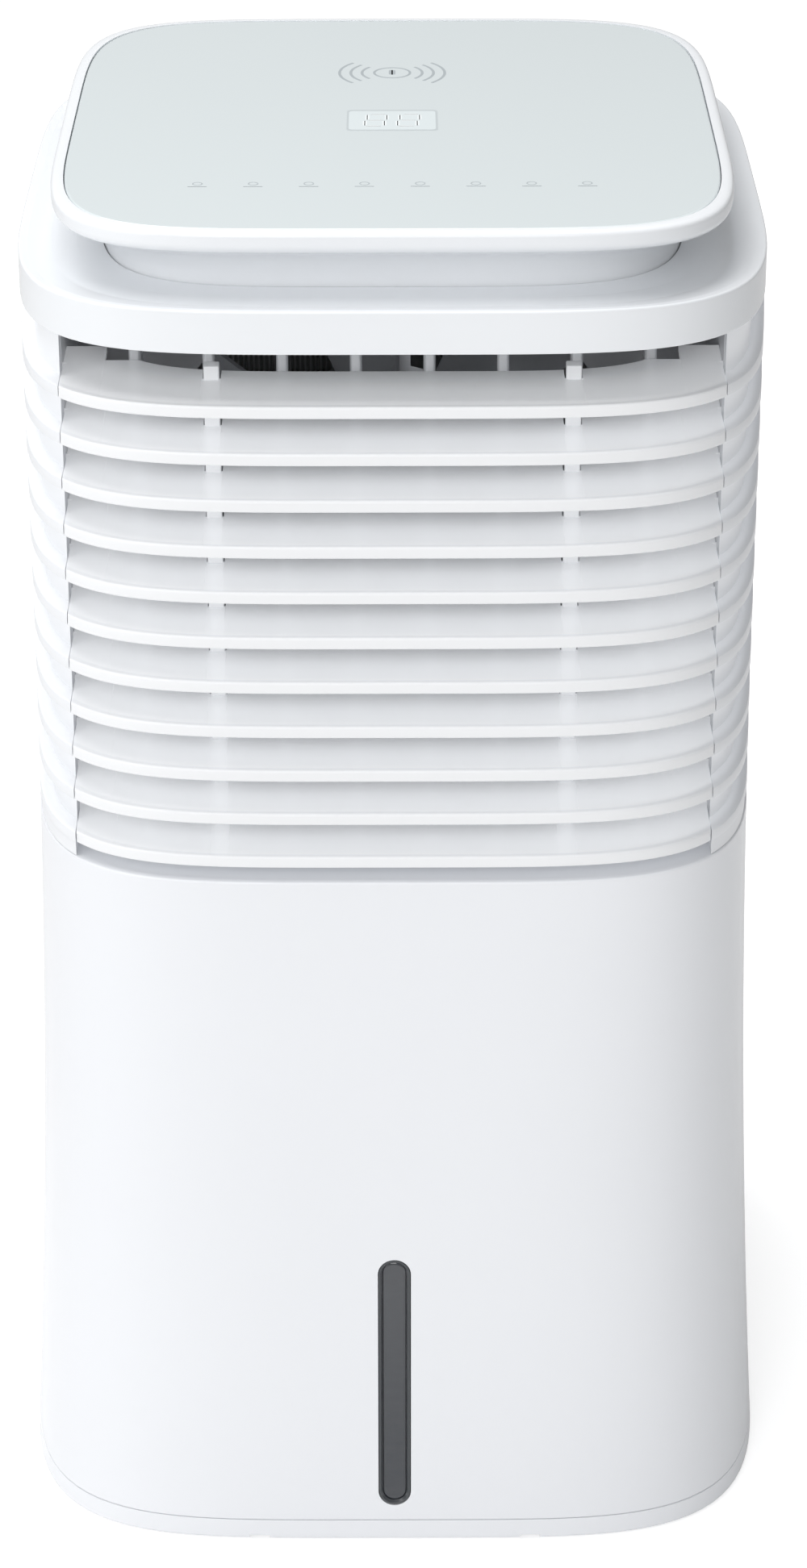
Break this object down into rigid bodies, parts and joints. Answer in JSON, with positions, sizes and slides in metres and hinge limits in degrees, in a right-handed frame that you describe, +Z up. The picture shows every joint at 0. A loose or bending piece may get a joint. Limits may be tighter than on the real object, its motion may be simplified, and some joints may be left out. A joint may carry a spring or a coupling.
{
  "type": "dehumidifier",
  "caption": "Upright compressor dehumidifier with tilting front louvres, swinging vanes, pull-out water tank, slide-out filter and a touch glass top.",
  "frame": {"origin": "middle of the footprint on the surface that the feet stand on", "axes": "+Z up, front with the louvres towards -Y, +X to the right seen from the front"},
  "size_m": [0.3004, 0.3306, 0.5386],
  "materials": {
    "white_shell": "smooth gloss moulding",
    "louvre_white": "satin moulding",
    "grey_plastic": "matt",
    "dark_plastic": "gloss",
    "smoked_lens": "polished, smoke tinted",
    "tank_plastic": "smooth",
    "top_glass": "polished, back painted",
    "rubber": "matt",
    "steel": "plain sheet",
    "aluminium_fins": "bare fins",
    "copper_tube": "bare copper",
    "black_paint": "gloss paint",
    "circuit_board": "solder mask",
    "filter_mesh": "fine mesh in a frame"
  },
  "bodies": {
    "housing": {"base_tray": "white_shell", "foot_1": "rubber", "foot_2": "rubber", "foot_3": "rubber", "foot_4": "rubber", "lower_shell": "white_shell", "window_bezel": "dark_plastic", "window_lens": "smoked_lens", "mid_deck": "grey_plastic", "compressor": "black_paint", "compressor_pad": "rubber", "control_box": "grey_plastic", "condenser": "aluminium_fins", "evaporator": "aluminium_fins", "suction_line": "copper_tube", "discharge_line": "copper_tube", "drip_tray": "grey_plastic", "fan_shroud": "grey_plastic", "fan_motor": "steel", "motor_bracket": "steel", "upper_shell": "white_shell", "cheek_left": "white_shell", "cheek_right": "white_shell", "outlet_frame": "grey_plastic", "vane_motor": "steel", "collar": "white_shell", "head_housing": "white_shell", "glass_panel": "top_glass", "display_board": "circuit_board", "charging_coil": "copper_tube", "power_inlet": "dark_plastic"},
    "blade_01": {"louvre_blade_01": "louvre_white"},
    "blade_02": {"louvre_blade_02": "louvre_white"},
    "blade_03": {"louvre_blade_03": "louvre_white"},
    "blade_04": {"louvre_blade_04": "louvre_white"},
    "blade_05": {"louvre_blade_05": "louvre_white"},
    "blade_06": {"louvre_blade_06": "louvre_white"},
    "blade_07": {"louvre_blade_07": "louvre_white"},
    "blade_08": {"louvre_blade_08": "louvre_white"},
    "blade_09": {"louvre_blade_09": "louvre_white"},
    "blade_10": {"louvre_blade_10": "louvre_white"},
    "blade_11": {"louvre_blade_11": "louvre_white"},
    "link_bar_left": {"link_bar_left": "louvre_white"},
    "link_bar_right": {"link_bar_right": "louvre_white"},
    "vane_1": {"vane_1": "grey_plastic"},
    "vane_2": {"vane_2": "grey_plastic"},
    "vane_3": {"vane_3": "grey_plastic"},
    "vane_4": {"vane_4": "grey_plastic"},
    "vane_5": {"vane_5": "grey_plastic"},
    "vane_6": {"vane_6": "grey_plastic"},
    "vane_7": {"vane_7": "grey_plastic"},
    "vane_8": {"vane_8": "grey_plastic"},
    "vane_link": {"vane_link": "grey_plastic"},
    "fan": {"fan_wheel": "grey_plastic"},
    "water_tank": {"tank": "tank_plastic", "tank_lid": "white_shell"},
    "tank_float": {"tank_float": "white_shell"},
    "air_filter": {"rear_grille": "white_shell", "filter_screen": "filter_mesh"},
    "drain_bung": {"drain_bung": "rubber"}
  },
  "joints": [
    {"name": "blade_01_tilt", "type": "hinge", "parent": "housing", "child": "blade_01", "pos_m": [0, -0.105, 0.2996], "axis": [-1, 0, 0], "range_deg": [0, 15]},
    {"name": "blade_02_tilt", "type": "hinge", "parent": "housing", "child": "blade_02", "pos_m": [0, -0.105, 0.3174], "axis": [-1, 0, 0], "range_deg": [0, 15]},
    {"name": "blade_03_tilt", "type": "hinge", "parent": "housing", "child": "blade_03", "pos_m": [0, -0.105, 0.3352], "axis": [-1, 0, 0], "range_deg": [0, 15]},
    {"name": "blade_04_tilt", "type": "hinge", "parent": "housing", "child": "blade_04", "pos_m": [0, -0.105, 0.353], "axis": [-1, 0, 0], "range_deg": [0, 15]},
    {"name": "blade_05_tilt", "type": "hinge", "parent": "housing", "child": "blade_05", "pos_m": [0, -0.105, 0.3708], "axis": [-1, 0, 0], "range_deg": [0, 15]},
    {"name": "blade_06_tilt", "type": "hinge", "parent": "housing", "child": "blade_06", "pos_m": [0, -0.105, 0.3886], "axis": [-1, 0, 0], "range_deg": [0, 15]},
    {"name": "blade_07_tilt", "type": "hinge", "parent": "housing", "child": "blade_07", "pos_m": [0, -0.105, 0.4064], "axis": [-1, 0, 0], "range_deg": [0, 15]},
    {"name": "blade_08_tilt", "type": "hinge", "parent": "housing", "child": "blade_08", "pos_m": [0, -0.105, 0.4242], "axis": [-1, 0, 0], "range_deg": [0, 15]},
    {"name": "blade_09_tilt", "type": "hinge", "parent": "housing", "child": "blade_09", "pos_m": [0, -0.105, 0.442], "axis": [-1, 0, 0], "range_deg": [0, 15]},
    {"name": "blade_10_tilt", "type": "hinge", "parent": "housing", "child": "blade_10", "pos_m": [0, -0.105, 0.4598], "axis": [-1, 0, 0], "range_deg": [0, 15]},
    {"name": "blade_11_tilt", "type": "hinge", "parent": "housing", "child": "blade_11", "pos_m": [0, -0.105, 0.4776], "axis": [-1, 0, 0], "range_deg": [0, 15]},
    {"name": "link_bar_left_turn", "type": "hinge", "parent": "blade_06", "child": "link_bar_left", "pos_m": [-0.065, -0.1218, 0.3886], "axis": [-1, 0, 0], "range_deg": [-15, 0]},
    {"name": "link_bar_right_turn", "type": "hinge", "parent": "blade_06", "child": "link_bar_right", "pos_m": [0.065, -0.1218, 0.3886], "axis": [-1, 0, 0], "range_deg": [-15, 0]},
    {"name": "vane_1_swing", "type": "hinge", "parent": "housing", "child": "vane_1", "pos_m": [-0.0938, -0.084, 0.3942], "axis": [0, 0, 1], "range_deg": [-25, 25]},
    {"name": "vane_2_swing", "type": "hinge", "parent": "housing", "child": "vane_2", "pos_m": [-0.067, -0.084, 0.3942], "axis": [0, 0, 1], "range_deg": [-25, 25]},
    {"name": "vane_3_swing", "type": "hinge", "parent": "housing", "child": "vane_3", "pos_m": [-0.0402, -0.084, 0.3942], "axis": [0, 0, 1], "range_deg": [-25, 25]},
    {"name": "vane_4_swing", "type": "hinge", "parent": "housing", "child": "vane_4", "pos_m": [-0.0134, -0.084, 0.3942], "axis": [0, 0, 1], "range_deg": [-25, 25]},
    {"name": "vane_5_swing", "type": "hinge", "parent": "housing", "child": "vane_5", "pos_m": [0.0134, -0.084, 0.3942], "axis": [0, 0, 1], "range_deg": [-25, 25]},
    {"name": "vane_6_swing", "type": "hinge", "parent": "housing", "child": "vane_6", "pos_m": [0.0402, -0.084, 0.3942], "axis": [0, 0, 1], "range_deg": [-25, 25]},
    {"name": "vane_7_swing", "type": "hinge", "parent": "housing", "child": "vane_7", "pos_m": [0.067, -0.084, 0.3942], "axis": [0, 0, 1], "range_deg": [-25, 25]},
    {"name": "vane_8_swing", "type": "hinge", "parent": "housing", "child": "vane_8", "pos_m": [0.0938, -0.084, 0.3942], "axis": [0, 0, 1], "range_deg": [-25, 25]},
    {"name": "vane_link_turn", "type": "hinge", "parent": "vane_4", "child": "vane_link", "pos_m": [-0.0134, -0.066, 0.3042], "axis": [0, 0, 1], "range_deg": [-25, 25]},
    {"name": "fan_spin", "type": "hinge", "parent": "housing", "child": "fan", "pos_m": [0, 0, 0.395], "axis": [0, 1, 0], "continuous": true},
    {"name": "tank_slide", "type": "slide", "parent": "housing", "child": "water_tank", "axis": [0, 1, 0], "range_m": [0, 0.24]},
    {"name": "float_rise", "type": "hinge", "parent": "water_tank", "child": "tank_float", "pos_m": [-0.06, 0.1, 0.12], "axis": [-1, 0, 0], "range_deg": [0, 14]},
    {"name": "filter_slide", "type": "slide", "parent": "housing", "child": "air_filter", "axis": [0, 1, 0], "range_m": [0, 0.06]},
    {"name": "bung_pull", "type": "slide", "parent": "housing", "child": "drain_bung", "axis": [0, 1, 0], "range_m": [0, 0.03]}
  ],
  "couplings": [
    {"joint": "blade_01_tilt", "follows": "blade_06_tilt", "ratio": 1},
    {"joint": "blade_02_tilt", "follows": "blade_06_tilt", "ratio": 1},
    {"joint": "blade_03_tilt", "follows": "blade_06_tilt", "ratio": 1},
    {"joint": "blade_04_tilt", "follows": "blade_06_tilt", "ratio": 1},
    {"joint": "blade_05_tilt", "follows": "blade_06_tilt", "ratio": 1},
    {"joint": "blade_07_tilt", "follows": "blade_06_tilt", "ratio": 1},
    {"joint": "blade_08_tilt", "follows": "blade_06_tilt", "ratio": 1},
    {"joint": "blade_09_tilt", "follows": "blade_06_tilt", "ratio": 1},
    {"joint": "blade_10_tilt", "follows": "blade_06_tilt", "ratio": 1},
    {"joint": "blade_11_tilt", "follows": "blade_06_tilt", "ratio": 1},
    {"joint": "link_bar_left_turn", "follows": "blade_06_tilt", "ratio": -1},
    {"joint": "link_bar_right_turn", "follows": "blade_06_tilt", "ratio": -1},
    {"joint": "vane_1_swing", "follows": "vane_4_swing", "ratio": 1},
    {"joint": "vane_2_swing", "follows": "vane_4_swing", "ratio": 1},
    {"joint": "vane_3_swing", "follows": "vane_4_swing", "ratio": 1},
    {"joint": "vane_5_swing", "follows": "vane_4_swing", "ratio": 1},
    {"joint": "vane_6_swing", "follows": "vane_4_swing", "ratio": 1},
    {"joint": "vane_7_swing", "follows": "vane_4_swing", "ratio": 1},
    {"joint": "vane_8_swing", "follows": "vane_4_swing", "ratio": 1},
    {"joint": "vane_link_turn", "follows": "vane_4_swing", "ratio": -1}
  ]
}
